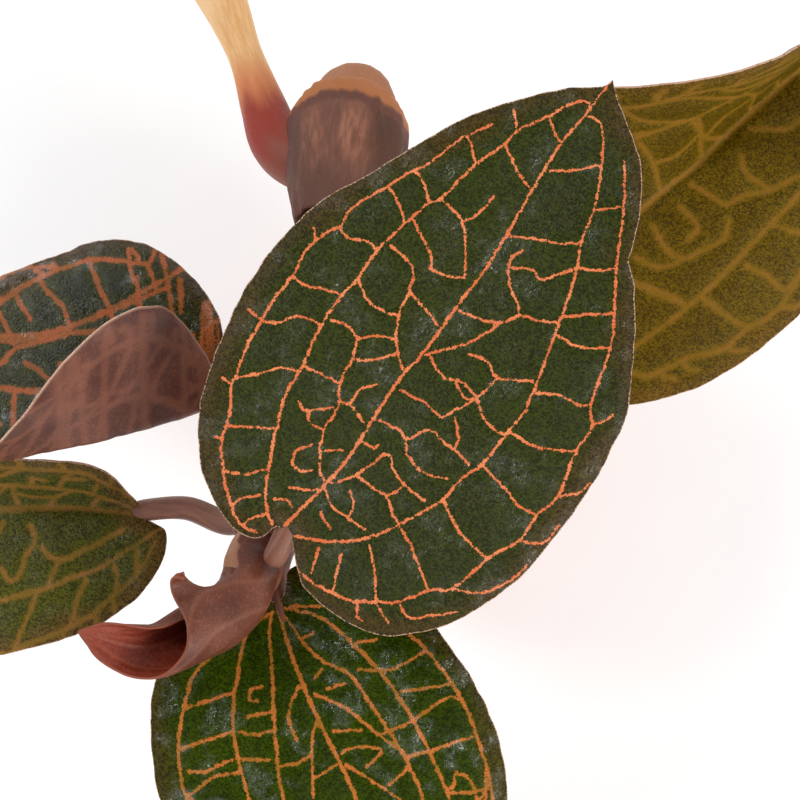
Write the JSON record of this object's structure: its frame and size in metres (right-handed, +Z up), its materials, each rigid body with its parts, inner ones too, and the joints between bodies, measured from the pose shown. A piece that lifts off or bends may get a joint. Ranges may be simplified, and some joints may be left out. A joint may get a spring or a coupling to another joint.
{
  "type": "potted jewel orchid",
  "caption": "Small jewel orchid in a clay pot: a leaning stem with clasping leaf stalks, dark heart-shaped leaves netted with copper veins, and a hanging root.",
  "frame": {"origin": "centre of the pot's base, on the surface that it stands on", "axes": "+Z up, -Y towards the side that the plant leans to and that the front leaf points to"},
  "size_m": [0.1249, 0.1198, 0.1442],
  "materials": {
    "pot_clay": "unglazed, matt, with pale mineral bloom",
    "bark_mix": "rough chips",
    "stem": "fleshy, satin, mauve-brown",
    "dry_sheath": "papery, streaked",
    "root": "satin, red-brown where it starts and amber beyond",
    "leaf": "velvety cells with a wet sheen, copper-orange net of veins",
    "young_leaf": "granular, mauve-brown outside and glossy maroon inside"
  },
  "bodies": {
    "root": {"pot": "pot_clay", "potting_mix": "bark_mix", "stem": "stem", "old_sheath": "dry_sheath", "aerial_root": "root", "leaf_main": "leaf", "leaf_front": "leaf", "leaf_left_upper": "leaf", "leaf_left_lower": "leaf", "leaf_right_back": "leaf", "leaf_furled": "young_leaf"}
  },
  "joints": []
}
